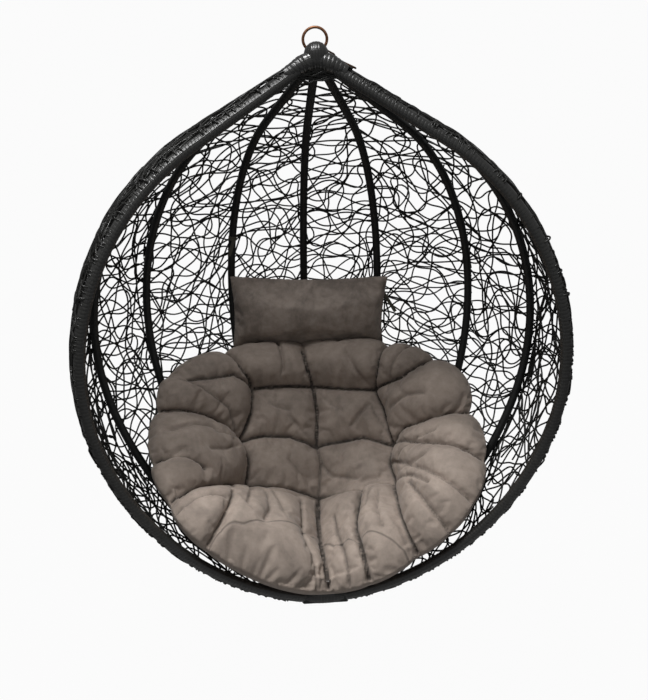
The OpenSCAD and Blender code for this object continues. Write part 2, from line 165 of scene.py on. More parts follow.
def finish_object(name, mesh, material, shade=True):
    mesh.transform(HUNG)
    mesh.name = name
    if shade:
        mesh.shade_smooth()
    mesh.materials.clear()
    mesh.materials.append(material)
    return put_in_scene(name, mesh)


def stands_for(obj, body, slot, *nodes):
    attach(obj, body)
    if nodes:
        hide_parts(*nodes)
    return obj


def spin_strip(rim, turns, pitch, steps):
    """A closed strip section wound round the Z axis from height zero."""
    bm = bmesh.new()
    verts = [bm.verts.new((r, 0, z)) for r, z in rim]
    edges = [bm.edges.new((verts[k - 1], verts[k])) for k in range(len(verts))]
    bmesh.ops.spin(
        bm, geom=verts + edges, cent=(0, 0, 0), axis=(0, 0, 1), dvec=(0, 0, pitch / steps),
        angle=math.tau, steps=steps, use_merge=False, use_duplicate=False,
    )
    mesh = bpy.data.meshes.new("turn")
    bm.to_mesh(mesh)
    bm.clear()
    turn = put_in_scene("turn", mesh)
    array = turn.modifiers.new("turns", "ARRAY")
    array.count = turns
    array.use_relative_offset = False
    array.use_constant_offset = True
    array.constant_offset_displace = (0, 0, pitch)
    array.use_merge_vertices = True
    array.merge_threshold = 1e-5
    wound = evaluated_mesh(turn)
    bm.from_mesh(wound)
    bpy.data.objects.remove(turn)
    bpy.data.meshes.remove(mesh)
    bpy.data.meshes.remove(wound)
    bmesh.ops.holes_fill(bm, edges=bm.edges, sides=0)
    return bm


def strip_rim(width, inner, outer):
    """The section of a flat strip whose outer face is a little crowned."""
    edge = 0.2 * (outer - inner)
    w = width / 2
    crown = 0.45 * w
    lower_half = [(inner, -w), (outer - edge, -w), (outer, -crown)]
    return lower_half + [(outer, crown), (outer - edge, w), (inner, w)]


# ---- shader maths ----


class Value:
    """A number inside a material, which can be added to, multiplied and compared."""

    def __init__(self, shader, socket):
        self.shader, self.socket = shader, socket

    def math(self, operation, *others, swap=False):
        values = [self, *others]
        if swap:
            values.reverse()
        return self.shader.math(operation, *values)

    def __add__(self, other):
        return self.math("ADD", other)

    __radd__ = __add__

    def __sub__(self, other):
        return self.math("SUBTRACT", other)

    def __rsub__(self, other):
        return self.math("SUBTRACT", other, swap=True)

    def __mul__(self, other):
        return self.math("MULTIPLY", other)

    __rmul__ = __mul__

    def __truediv__(self, other):
        return self.math("DIVIDE", other)

    def __pow__(self, other):
        return self.math("POWER", other)

    def sin(self):
        return self.math("SINE")

    def abs(self):
        return self.math("ABSOLUTE")

    def clamp(self, low=0.0, high=1.0):
        return self.math("MAXIMUM", low).math("MINIMUM", high)


class Shader:
    """A material on one Principled BSDF."""

    def __init__(self, name, **constants):
        self.material = bpy.data.materials.new(name)
        self.material.use_nodes = True
        self.tree = self.material.node_tree
        self.bsdf = self.tree.nodes["Principled BSDF"]
        for key, value in constants.items():
            self.put(self.bsdf.inputs[key.replace("_", " ")], value)

    def put(self, socket, value):
        if isinstance(value, Value):
            value = value.socket
        if isinstance(value, bpy.types.NodeSocket):
            self.tree.links.new(value, socket)
        else:
            socket.default_value = value

    def node(self, kind, settings=None, **sockets):
        node = self.tree.nodes.new(kind)
        for key, value in (settings or {}).items():
            setattr(node, key, value)
        for key, value in sockets.items():
            self.put(node.inputs[key.replace("_", " ")], value)
        return node

    def math(self, operation, *values):
        node = self.node("ShaderNodeMath", {"operation": operation})
        for socket, value in zip(node.inputs, values):
            self.put(socket, value)
        return Value(self, node.outputs[0])

    def coordinates(self, scale=(1, 1, 1), source="Object"):
        where = self.node("ShaderNodeTexCoord").outputs[source]
        return self.node("ShaderNodeMapping", Vector=where, Scale=scale).outputs[0]

    def noise(self, where, scale, detail=2.0, roughness=0.5, distortion=0.0):
        node = self.node(
            "ShaderNodeTexNoise", Vector=where, Scale=scale, Detail=detail,
            Roughness=roughness, Distortion=distortion,
        )
        return Value(self, node.outputs[0])

    def attribute(self, name):
        return Value(self, self.node("ShaderNodeAttribute", {"attribute_name": name}).outputs["Fac"])

    def mix(self, factor, first, second):
        node = self.node("ShaderNodeMix", {"data_type": "RGBA"})
        for socket, value in ((node.inputs[0], factor), (node.inputs[6], first), (node.inputs[7], second)):
            self.put(socket, value)
        return node.outputs[2]

    def set(self, **inputs):
        for key, value in inputs.items():
            self.put(self.bsdf.inputs[key.replace("_", " ")], value)
        return self

    def bump(self, height, strength, distance):
        node = self.node("ShaderNodeBump", Height=height, Strength=strength, Distance=distance)
        self.put(self.bsdf.inputs["Normal"], node.outputs[0])
        return self


def opaque(colour, k=1.0):
    return (colour[0] * k, colour[1] * k, colour[2] * k, 1)


def wicker_strip(colours):
    """Glossy flat strip, with drawn lines along it, dulled in places."""
    s = Shader("wicker_strip", Specular_IOR_Level=0.9)
    where = s.coordinates()
    patch = s.noise(where, 22, 4, 0.6)
    turn = s.noise(where, 160, 2, 0.5)
    dark, pale = opaque(colours.strip, 0.6), opaque(colours.strip, 1.7)
    s.set(
        Base_Color=s.mix((patch * 1.6 - 0.35).clamp(), dark, pale),
        Roughness=(0.2 + turn * 0.2 + patch * 0.1).clamp(0.1, 0.8),
        Coat_Weight=(0.4 - patch * 0.4).clamp(),
    )
    return s.bump(turn + s.noise(where, 900, 2) * 0.3, 0.35, 0.0006).material


def wicker_strand(colours):
    """Round woven strand, satin, a little uneven."""
    s = Shader("wicker_strand", Specular_IOR_Level=0.5)
    where = s.coordinates()
    patch = s.noise(where, 9, 3, 0.6)
    fine = s.noise(where, 420, 2)
    dark, pale = opaque(colours.strand, 0.6), opaque(colours.strand, 1.8)
    s.set(
        Base_Color=s.mix((patch * 1.8 - 0.4).clamp(), dark, pale),
        Roughness=(0.34 + fine * 0.2).clamp(),
    )
    return s.bump(fine, 0.25, 0.0004).material


def coated_steel(colours):
    """Powder coat with a fine peel, rubbed smoother in patches."""
    s = Shader("coated_steel")
    where = s.coordinates()
    peel = s.noise(where, 330, 2)
    rub = s.noise(where, 6, 4, 0.6)
    s.set(
        Base_Color=s.mix(rub, opaque(colours.steel, 0.8), opaque(colours.steel, 1.35)),
        Roughness=(0.36 + rub * 0.18 + peel * 0.06).clamp(),
    )
    return s.bump(peel, 0.7, 0.0008).material


def bronze(name, colour, wear):
    """Plated wire, browned, and worn back to bright metal on its high spots."""
    s = Shader(name, Specular_IOR_Level=0.5)
    where = s.coordinates()
    blotch = s.noise(where, 60, 5, 0.65)
    worn = ((blotch - (1 - wear)) * 6).clamp()
    s.set(
        Base_Color=s.mix(worn, opaque(colour), opaque(colour, 1.9)),
        Metallic=(0.75 + worn * 0.25).clamp(),
        Roughness=(0.42 - worn * 0.14 + s.noise(where, 300, 2) * 0.12).clamp(),
    )
    return s.bump(blotch, 0.2, 0.0005).material


def woven_cover(name, colour, mottle, sheen, thread):
    """Brushed cover cloth: fine weave, a soft mottle, a darker line at its seam, and painted shade in its
    shut folds.
    """
    s = Shader(name, Sheen_Weight=sheen, Sheen_Roughness=0.45, Specular_IOR_Level=0.25)
    where = s.coordinates()
    cloud = s.noise(where, 13, 5, 0.66, 0.5)
    brushed = s.noise(where, 55, 3, 0.6, 0.2)
    seam = (1 - (s.attribute("seam") / thread).abs()).clamp()
    tone = (0.5 + (cloud - 0.5) * mottle + (brushed - 0.5) * mottle * 0.5).clamp()
    cloth = s.mix(tone, opaque(colour, 0.74), opaque(colour, 1.24))
    # a darker seam line, plus painted shade where folds are shut: both draw the cloth towards a tenth of
    # its colour
    shade = (seam * 0.55 + s.attribute("fold") ** 1.6 * 1.15).clamp(0, 0.93)
    s.set(
        Base_Color=s.mix(shade, cloth, opaque(colour, 0.1)),
        Roughness=(0.78 + (cloud - 0.5) * 0.2).clamp(),
    )
    xyz = s.node("ShaderNodeSeparateXYZ", Vector=where)
    x, y, z = (Value(s, o) for o in xyz.outputs)
    weave = ((x * 2600).sin() * (z * 2600 + y * 1800).sin()) * 0.5
    return s.bump(weave * 0.4 + s.noise(where, 900, 2) + brushed * 0.8 - seam * 4, 0.5, 0.0007).material


def woven_tape(colours):
    """Flat tape: ribbed along its length, with paler edges."""
    s = Shader("woven_tape", Sheen_Weight=0.2, Specular_IOR_Level=0.25)
    where = s.coordinates()
    ribs = s.noise(where, 700, 2)
    s.set(
        Base_Color=s.mix(ribs, opaque(colours.tie, 0.8), opaque(colours.tie, 1.4)),
        Roughness=(0.7 + ribs * 0.2).clamp(),
    )
    return s.bump(ribs, 0.6, 0.0006).material


def made_once(make, colours):
    """The material that make draws, drawn the first time it is asked for."""
    return bpy.data.materials.get(make.__name__) or make(colours)


# ---- settings ----


def length(default, name, about):
    return bpy.props.FloatProperty(
        name=name, description=about, default=default, min=0.0, unit="LENGTH", precision=4
    )


def colour(default, name, about):
    return bpy.props.FloatVectorProperty(
        name=name, description=about, default=default, size=3, min=0, max=1, subtype="COLOR"
    )


def number(default, name, about):
    return bpy.props.FloatProperty(name=name, description=about, default=default, min=0.0)


def whole(default, name, about):
    return bpy.props.IntProperty(name=name, description=about, default=default, min=0)


class EggColours(bpy.types.PropertyGroup):
    strip: colour((0.009, 0.009, 0.008), "Strip", "Colour of the flat strip wound round the hoop")
    strand: colour((0.007, 0.007, 0.006), "Strand", "Colour of the round strand woven into the nets")
    steel: colour((0.009, 0.0095, 0.009), "Steel", "Colour of the ribs' powder coat")
    ring: colour((0.36, 0.17, 0.09), "Ring", "Colour of the hanging ring")
    chain: colour((0.10, 0.055, 0.03), "Chain", "Colour of the eye and the chain links")
    cushion: colour((0.32, 0.264, 0.224), "Cushion", "Colour of the cushion's cover")
    pillow: colour((0.30, 0.25, 0.215), "Pillow", "Colour of the pillow's cover")
    tie: colour((0.09, 0.085, 0.065), "Ties", "Colour of the pillow's ties")


class EggWraps(bpy.types.PropertyGroup):
    pitch: length(0.008, "Pitch", "Distance from one turn of strip to the next")
    width: length(0.0079, "Width", "Width of the strip")
    lift: length(0.0130, "Outer radius", "Radius of the wound hoop over the strip")


class EggWeave(bpy.types.PropertyGroup):
    strand: length(0.0041, "Strand", "Diameter of a woven strand")
    total: length(265.0, "Total length", "Length of strand in all the nets")
    seed: whole(7, "Seed", "Picks another weave of the same kind")


class EggCushion(bpy.types.PropertyGroup):
    cell: length(0.0047, "Cell", "Size of the cloth's cells")
    pressure: number(8.0, "Pressure", "How hard the filling pushes out")
    slack: number(0.05, "Slack", "How much longer the cloth is than its filling")


class EggPillow(bpy.types.PropertyGroup):
    width: length(0.414, "Width", "Width from corner to corner")
    height: length(0.200, "Height", "Height from corner to corner")
    thickness: length(0.096, "Thickness", "Thickness at the crown")


class EggStage(bpy.types.PropertyGroup):
    floor_z: length(1.80, "Floor below ring", "How far under the ring the floor lies")
    light: number(1.0, "Light", "Level of every lamp")


# ---- weave ----

NET_TOP = 0.07
LOOSE_FROM, LOOSE_TO = 0.1, 0.75
FULL_BOW, FLAT_BOW = 0.75, 0.2
TRIES = 9
FEWEST_POINTS = 12
EDGE_STRANDS = 26


def net_surface(s, bearing, lift):
    """A place on the net, which is drawn nearly flat between one rib and the next."""
    k = max(i for i in range(len(EDGES) - 1) if EDGES[i] <= bearing or i == 0)
    u = (bearing - EDGES[k]) / (EDGES[k + 1] - EDGES[k])
    d = facing(EDGES[k]).lerp(facing(EDGES[k + 1]), u)
    n = d.length
    bow = FULL_BOW if k in (0, len(EDGES) - 2) else FLAT_BOW
    f = d / n * (n + bow * (1 - n))
    r, z, h = place(s)
    r += lift * math.cos(h)
    return Vector((r * f.x, r * f.y, z + lift * math.sin(h)))


class Strand:
    """One strand of the net, wandering from an edge or a rib until it meets another."""

    step = 0.010
    most_steps = 160
    cell = 0.019
    starts = (0.085, LAST_S - 0.02)
    edge_starts = (0.16, LAST_S - 0.35)
    edge_band = (74.5, 101)

    def __init__(self, rng, side=0):
        self.s = rng.uniform(*self.starts)
        while rng.random() > place(self.s)[0] / 0.5:
            self.s = rng.uniform(*self.starts)
        self.b = rng.choice(EDGES)
        level = rng.random() < 0.25
        start = -1 if self.b == HOOP else 1 if self.b == -HOOP else rng.choice((-1, 1))
        course = start * math.pi / 2 + rng.gauss(0, 0.25 if level else 0.85)
        aim = rng.uniform(0.45, 1.1)
        bounds = (-HOOP, HOOP)
        if side:
            self.s = rng.uniform(*self.edge_starts)
            self.b = side * math.radians(rng.uniform(75, 98))
            course = rng.choice((0, math.pi)) + rng.gauss(0, 0.1)
            bounds = tuple(sorted(side * math.radians(b) for b in self.edge_band))
        seed = rng.uniform(0, 1000)
        drift = rng.choice((1.0, 3.0, 6.0)) * (0.4 if level else 1)
        wave, beat = rng.uniform(0.5, 1.3), rng.uniform(7, 15)
        self.phase = rng.uniform(0, math.tau)
        self.lift = rng.uniform(-0.5, 2.2) * MM
        self.points = [(self.s, self.b)]
        s, b = self.s, self.b
        for k in range(self.most_steps):
            where = k * self.step
            course += drift * self.step * noise.noise(Vector((where * 4, seed, 0.5))) * 2.2
            heading = course + 2 * wave * noise.noise(Vector((where * beat, seed, 7.5)))
            s_next = s + self.step * math.cos(heading)
            b_next = b + self.step * math.sin(heading) / max(0.03, place(s)[0])
            crossed = any((b - e) * (b_next - e) < 0 for e in RIBS)
            s, b = s_next, max(bounds[0], min(bounds[1], b_next))
            self.points.append((s, b))
            if abs(b) >= HOOP or not NET_TOP < s < LAST_S - 0.005:
                break
            if where > aim and (crossed or side):
                break

    def cells(self):
        return [(int(s / self.cell), int((b + 4) * place(s)[0] / self.cell)) for s, b in self.points]

    def middle(self):
        return self.points[len(self.points) // 2][1]

    def path(self, rng):
        lift = RIB_R + 3.6 * MM + self.lift
        path = []
        for k, (s, b) in enumerate(self.points):
            over = 1.3 * MM * math.sin(k * self.step / 0.026 + self.phase)
            path.append(net_surface(s, b, lift + over))
        for end in (0, -1):
            s, b = self.points[end]
            if abs(b) >= HOOP and NET_TOP < s < LAST_S:
                loop = self.lacing(s, b, rng)
                path = loop[::-1] + path[1:] if end == 0 else path[:-1] + loop
        return path

    def lacing(self, s, b, rng):
        """The strand's end, carried over the back of the hoop and tucked under its strip."""
        side = 1 if b > 0 else -1
        slip = rng.uniform(-0.008, 0.008)
        bulge = STRIP_R + rng.uniform(0.5, 1.6) * MM
        if LOOSE_FROM < s < LOOSE_TO:
            bulge += max(0, rng.gauss(0, 3.5)) * MM
        loop = []
        for k in range(9):
            a = math.radians(128 - 100 * k / 8)
            centre, out, across, _ = station(s + slip * k / 8, b)
            r = bulge + (STRIP_R - 2.5 * MM - bulge) * smooth(k, 4, 8)
            loop.append(centre + r * (side * math.cos(a) * across + math.sin(a) * out))
        return loop


def weave(settings):
    """Strands spread over the cage, each the one of several tries that fills it best."""
    rng = random.Random(settings.seed)
    cover = {}
    strands, total = [], 0.0
    while total < settings.total:
        best, best_score = None, None
        for _ in range(TRIES):
            strand = Strand(rng)
            if len(strand.points) < FEWEST_POINTS:
                continue
            cells = strand.cells()
            score = sum(cover.get(c, 0) ** 1.5 for c in cells) / len(cells)
            if best is None or score < best_score:
                best, best_score = strand, score
        if best is None:
            continue
        for c in set(best.cells()):
            cover[c] = cover.get(c, 0) + 1
        strands.append(best)
        total += Strand.step * len(best.points)
    strands += [Strand(rng, side) for side in (-1, 1) for _ in range(EDGE_STRANDS)]
    return strands, rng


def tubes(name, paths, radius, material):
    """Round strands along the paths, as one closed mesh."""
    data = bpy.data.curves.new(name, "CURVE")
    data.dimensions = "3D"
    data.bevel_depth = radius
    data.bevel_resolution = 1
    data.use_fill_caps = True
    for path in paths:
        spline = data.splines.new("POLY")
        spline.points.add(len(path) - 1)
        for point, co in zip(spline.points, path):
            point.co = (*co, 1)
    shell = put_in_scene(name, data)
    bpy.context.view_layer.update()
    mesh = evaluated_mesh(shell)
    bpy.data.objects.remove(shell)
    bpy.data.curves.remove(data)
    bm = bmesh.new()
    bm.from_mesh(mesh)
    bmesh.ops.remove_doubles(bm, verts=bm.verts, dist=1e-6)
    bpy.data.meshes.remove(mesh)
    return finish_mesh(name, bm, material)


# ---- cushion ----

FAN = Vector((0, 0, -650 * MM))
AIM = math.radians(-55)
MIDDLE_UP = 3
PAD = 130 * MM
CREST = 0.34
BOWL_GAP = 5 * MM
FOLD_LIMIT = 0.72
SEWN_FROM = 20 * MM
PLEAT = 8 * MM
FOLD_BLEND = 2.5
OUTLINE_STEPS = 600


def bowl_radius(z):
    start, r = (START_1, SHOULDER[0]) if z > START_2[1] else (START_2, BOWL[0])
    c = bend_centre(start, r)
    return c[0] + math.sqrt(max(0, r * r - (z - c[1]) ** 2))


def ray(across, up):
    """The unit ray with these two angles from the ray through the cushion's middle."""
    t = math.hypot(across, up)
    s = math.sin(t) / t if t > 0 else 0
    f = math.cos(t)
    x, u = s * across, s * up
    return Vector((x, f * math.cos(AIM) - u * math.sin(AIM), f * math.sin(AIM) + u * math.cos(AIM)))


def angles_of(d):
    """The two angles of a unit ray: ray() the other way round."""
    f = d.y * math.cos(AIM) + d.z * math.sin(AIM)
    u = d.z * math.cos(AIM) - d.y * math.sin(AIM)
    t = math.atan2(math.hypot(d.x, u), f)
    k = t / math.sin(t) if t > 0 else 1
    return d.x * k, u * k


def reach(d):
    """How far a ray runs from FAN before it meets the inside of the cage."""
    low, high = 0.3, 0.7
    for _ in range(17):
        t = (low + high) / 2
        z = FAN.z + t * d.z
        if z < -CAGE_H + STRIP_R or math.hypot(d.x, d.y) * t > bowl_radius(z) - STRIP_R:
            high = t
        else:
            low = t
    return low


def edge_angles(th):
    """The cushion's outline: a rounded oblong, fuller in front, drawn in where folds meet it."""
    c, s = math.cos(th), math.sin(th)
    wide = 58.2 if c < 0 else 57
    high, n = (48.6, 3.6) if s < 0 else (40.7, 2.2)
    r = math.radians((abs(c / wide) ** n + abs(s / high) ** n) ** (-1 / n))
    drawn = 1 - 0.075 * min(1, folded(0.97 * r * c, 0.97 * r * s)[0] / 0.055)
    return drawn * r * c, drawn * r * s


def square_angles(th):
    c, s = math.cos(th), math.sin(th)
    m = max(abs(c), abs(s))
    v = s / m
    return math.radians(24) * c / m * (1 - 0.05 * v), math.radians(MIDDLE_UP + v * (21 if v > 0 else 16.5))


def lay(th, t):
    square = square_angles(th)
    middle = math.radians(MIDDLE_UP)
    if t <= 1:
        return t * square[0], middle + t * (square[1] - middle)
    edge = EDGE[round(th * OUTLINE_STEPS)]
    return square[0] + (t - 1) * (edge[0] - square[0]), square[1] + (t - 1) * (edge[1] - square[1])


def from_back(th):
    return (1 - math.sin(th)) / 2


def segment_t(th):
    return (128 + 32 * from_back(th)) * MM


def rim_t(th):
    return (0.4 - 0.15 * from_back(th)) * segment_t(th)


# The folds of the cover: how deep and how far off they draw it, in mm and degrees, and their
# lines over the angles across and up.
TUFTS = {
    "TL": (-21, 23.2), "TM": (1, 24.6), "TR": (23, 20.5), "ML": (-25.5, 3.6), "MM": (0.8, 3.5),
    "MR": (26.5, -1), "BL": (-22.2, -10.8), "BM": (0.3, -12), "BR": (25.5, -17),
}
FOLDS = [
    (38, 10, "TL", (-10.8, 24.6), "TM"), (38, 10, "TM", (11, 22.8), "TR"),
    (36, 10, "TL", (-22.2, 13.7), "ML"), (36, 10, "TM", (1.9, 15), "MM"),
    (38, 10, "TR", (26, 11), "MR"), (32, 9, "ML", (-17, 6.2), (-8.6, 6.6), "MM"),
    (32, 9, "MM", (8.5, 3.8), (17, 4), "MR"), (34, 8, "ML", (-22.7, -2.8), "BL"),
    (22, 6, "MM", (1.9, -3.3), "BM"), (34, 8, "MR", (24.5, -8), "BR"),
    (32, 8, "BL", (-13, -12), "BM"), (28, 8, "BM", (12, -17), "BR"),
    (34, 8, "TM", (-0.9, 30.5), (-2.2, 37)), (40, 10, "TL", (-26.4, 28.8), (-32, 38)),
    (26, 7, "TL", (-31, 26.3), (-48, 20)), (30, 7, "TR", (26.1, 26.7), (29, 38)),
    (40, 10, "TR", (34.9, 21.4), (49, 28)), (64, 15, "MR", (32.4, 2.2), (43.7, 1.3), (60, 1.5)),
    (60, 14, "BR", (26, -32), (26.3, -43), (28.5, -52)), (22, 5, (33, -28), (38, -44), (43, -52)),
    (78, 18, "BM", (-0.8, -24.3), (-0.8, -34.5), (1, -54)),
    (30, 5, (15, -18), (11, -33.3), (10.5, -37.9), (12, -52)),
    (20, 3, (4, -27), (4.5, -35), (6, -48)),
    (76, 18, "BL", (-35.8, -21), (-46.9, -28.3), (-60, -37)),
    (56, 14, "ML", (-32.5, 6.1), (-42.5, 8), (-62, 6.2)),
    (22, 5, (-34, -30), (-37.5, -45.7), (-35.3, -52)),
    (34, 6, (-62, -11), (-53.9, -17.5), (-44, -20)),
    (24, 5, "MR", (41, -12), (53.9, -20), (62, -30)), (18, 4, (25, -8), (36, -22), (48, -38)),
    (14, 3, (1.8, -3.3), (5, -8), (13.4, -12)), (18, 4, (-50, 19), (-33.7, 11.9), (-28, 5)),
    (16, 4, (-54, -38), (-46, -36), (-38, -37)), (13, 3, (26, 3), (21.5, 15), (14, 8)),
    (13, 3, (-11.5, 41), (-10.7, 30)), (14, 3, (31, 22), (38, 36)),
    (16, 3.5, (-6, -18), (-6.6, -36.5), (-3, -46)), (12, 3, "BR", (33, -20), (42, -22)),
    (12, 3, "BL", (-17, -19), (-14, -30)), (12, 3, "BR", (18, -22), (15, -30)),
    (10, 3, "TL", (-15, 17), (-9, 15)), (10, 3, "BM", (-5, -7), (-9, -3)),
    (10, 3, "TR", (18, 28), (15, 35)), (10, 3, "ML", (-33, 0), (-42, -2)),
    (10, 3, "MM", (-5, 9), (-9, 13)), (10, 3, "BM", (-8, -17), (-15, -20)),
    (9, 2.5, "TM", (7, 17), (11, 14)), (18, 3.5, (27, -20), (35, -27), (41, -36)),
    (16, 3, (21, -24), (19, -34), (20, -42)), (14, 3, (30, -12), (40, -9), (48, -10)),
    (16, 3, (-30, -17), (-33, -25), (-42, -27)), (16, 3, (-24, -17), (-27, -28), (-29, -36)),
    (14, 3, (-44, -12), (-36, -8), (-30, -3)), (14, 3, (-20, -22), (-19, -32), (-22, -40)),
    (13, 3, (30, 10), (38, 12), (45, 10)), (12, 3, (-40, 0), (-50, -2), (-56, -6)),
]
FOLDS = [(deep * MM, wide, [TUFTS.get(p, p) for p in line]) for deep, wide, *line in FOLDS]


def box_round(wide, line):
    xs, ys = zip(*line)
    return min(xs) - wide, max(xs) + wide, min(ys) - wide, max(ys) + wide


BOXES = [box_round(wide, line) for _, wide, line in FOLDS]


def along_and_off(x, y, line):
    """How far along a line its nearest place is, how far off, and on which side."""
    best, side, where, before = 1e9, 1, 0, 0
    for (ax, ay), (bx, by) in zip(line, line[1:]):
        dx, dy = bx - ax, by - ay
        length = math.hypot(dx, dy)
        k = min(1, max(0, ((x - ax) * dx + (y - ay) * dy) / (length * length)))
        off = math.hypot(x - ax - k * dx, y - ay - k * dy)
        if off < best:
            best, where = off, before + k * length
            side = 1 if (x - ax) * dy - (y - ay) * dx > 0 else -1
        before += length
    return where, best, side


def folded(across, up):
    """How deep the cover is drawn in there, how firmly it is sewn down, and how shut the fold is."""
    x, y = math.degrees(across), math.degrees(up)
    deep, sewn, shut = 0.0, 0.0, 0.0
    for k, (depth, wide, line) in enumerate(FOLDS):
        box = BOXES[k]
        if not (box[0] < x < box[1] and box[2] < y < box[3]):
            continue
        along, off, side = along_and_off(x, y, line)
        if off >= wide:
            continue
        drop = 1.2 * depth * (1 - math.sqrt(1 - (1 - off / wide) ** 2))
        shut = max(shut, min(1, depth / 0.03) * math.exp(-((off / 0.52) ** 2)))
        if depth > SEWN_FROM:
            sewn = max(sewn, math.exp(-((off / 0.7) ** 2)))
            wave = noise.noise(Vector((along * 0.34 + off * 0.05, k * 3.7 + side * 1.3, off * 0.05)))
            pleat = max(0, 1 - abs(wave) * 3.2) ** 1.5 * smooth(off, 0, 1.2)
            pleat *= 1 - smooth(off, 0.6 * wide, wide)
            drop += PLEAT * pleat * math.exp(-off / 4)
        deep += drop**FOLD_BLEND
    return deep ** (1 / FOLD_BLEND), max(sewn, 0.6 * shut), shut


SEAM = [
    (-70, -80), (-41, -44.9), (-29.5, -45), (-14.6, -38.5), (-2.1, -32.1), (3, -38),
    (8.9, -41.9), (20, -45.5), (29.9, -47.6), (39.3, -45.9), (70, -80),
]
HALF_ROUND = math.ceil(math.pi * OUTLINE_STEPS)
EDGE = {k: edge_angles(k / OUTLINE_STEPS) for k in range(-HALF_ROUND, HALF_ROUND + 1)}


def upper(th, t):
    """Height of the cushion's upper face over the bowl, before its folds."""
    k = t - 1
    full = segment_t(th) + (8 + 13 * from_back(th)) * MM
    if k < 0:
        return PAD
    if k < CREST:
        return PAD + (full - PAD) * math.sin(math.pi / 2 * k / CREST)
    rim = rim_t(th)
    n = 2.4 + 0.6 * from_back(th)
    return rim + (full - rim) * max(0, 1 - ((k - CREST) / (1 - CREST)) ** n) ** (1 / n)


def lower(th, t):
    k = max(0, t - 1)
    return BOWL_GAP + (rim_t(th) - BOWL_GAP) * (1 - math.sqrt(max(0, 1 - k * k)))


def shaped_cushion():
    bm = bmesh.new()
    bmesh.ops.create_uvsphere(bm, u_segments=336, v_segments=190, radius=1)
    for v in bm.verts:
        t = 2 * min(1, math.hypot(v.co.x, v.co.y))
        th = math.atan2(v.co.y, v.co.x)
        angles = lay(th, t)
        d = ray(*angles)
        if v.co.z > -1e-6:
            h = upper(th, t)
            limit = FOLD_LIMIT * h
            deep = limit * (1 - math.exp(-folded(*angles)[0] / limit))
            h -= deep * (1 - smooth(t, 1.985, 2))
        else:
            h = lower(th, t)
        v.co = FAN + d * (reach(d) - h)
    return bm


def cushion_facts(co, normal):
    """How firmly the cover is held here, how near its seam it is, and how shut a fold is, which also
    darkens the cloth there as painted shade.
    """
    d = (co - FAN).normalized()
    away = normal.dot(d)
    if away > 0.5:
        return smooth(away, 0.3, 0.8), 4, 0
    across, up = angles_of(d)
    _, held, shut = folded(across, up)
    _, off, side = along_and_off(math.degrees(across), math.degrees(up), SEAM)
    k = 1 - smooth(away, 0.1, 0.5)
    return max(held * k, smooth(away, 0.3, 0.8)), side * min(off, 4), shut * k


def pillow_half(x, z, thickness):
    return thickness / 2 * max(0, (1 - x**4) * (1 - z * z)) ** 0.6


PILLOW_AT = (5 * MM, 447 * MM, -688 * MM)
PILLOW_TILT = math.radians(2)
PILLOW_PLACE = Matrix.Translation(PILLOW_AT) @ Matrix.Rotation(PILLOW_TILT, 4, "Y")


def shaped_pillow(p):
    bm = bmesh.new()
    bmesh.ops.create_grid(bm, x_segments=96, y_segments=48, size=1)
    front = list(bm.verts)
    back = bmesh.ops.duplicate(bm, geom=bm.verts[:] + bm.edges[:] + bm.faces[:])
    back = [v for v in back["geom"] if isinstance(v, bmesh.types.BMVert)]
    for verts, side in ((front, -1), (back, 1)):
        for v in verts:
            x, z = math.sin(v.co.x * math.pi / 2), math.sin(v.co.y * math.pi / 2)
            wide = x * p.width / 2 * (1 - 0.045 * (1 - z * z)) * (1 - 0.02 * (1 - z))
            tall = z * p.height / 2 * (1 - 0.11 * (1 - x * x))
            v.co = Vector((wide, side * pillow_half(x, z, p.thickness), tall))
    bm.transform(PILLOW_PLACE)
    bmesh.ops.remove_doubles(bm, verts=bm.verts, dist=1e-5)
    return bm


def pillow_facts(co, normal):
    from_seam = (PILLOW_PLACE.inverted() @ co).y
    return 1 - smooth(abs(from_seam), 0.5 * MM, 5 * MM), from_seam / (6 * MM), 0


# ---- cloth ----


def remeshed(name, bm, cell):
    """The form again in even cells."""
    bmesh.ops.recalc_face_normals(bm, faces=bm.faces)
    obj = put_in_scene(name, mesh_of(name, bm))
    remesh = obj.modifiers.new("cells", "REMESH")
    remesh.mode = "VOXEL"
    remesh.voxel_size = cell
    baked = evaluated_mesh(obj)
    obj.modifiers.clear()
    obj.data = baked
    return obj


FRAMES = 12
CREASE = 7 * MM


def blow_up(obj, held, pressure, slack, most):
    """Fills a cover with air: it creases where it is held. No point moves further than most."""
    group = obj.vertex_groups.new(name="held")
    for k, w in enumerate(held):
        if w > 0.02:
            group.add([k], w, "REPLACE")
    rest = [v.co.copy() for v in obj.data.vertices]
    cloth = obj.modifiers.new("cloth", "CLOTH")
    s = cloth.settings
    s.quality = 5
    s.mass = 0.25
    s.tension_stiffness = 12
    s.compression_stiffness = 12
    s.shear_stiffness = 5
    s.bending_stiffness = 3
    s.shrink_min = -slack
    s.use_pressure = True
    s.uniform_pressure_force = pressure
    s.vertex_group_mass = "held"
    s.pin_stiffness = 1
    s.effector_weights.gravity = 0
    cloth.collision_settings.use_collision = False
    scene = bpy.context.scene
    cloth.point_cache.frame_start = 1
    cloth.point_cache.frame_end = FRAMES
    for f in range(1, FRAMES + 1):
        scene.frame_set(f)
    moved = evaluated_mesh(obj)
    for v, start in zip(moved.vertices, rest):
        d = v.co - start
        if d.length > most:
            v.co = start + d * (most / d.length)
    obj.modifiers.clear()
    obj.vertex_groups.clear()
    obj.data = moved
    scene.frame_set(1)


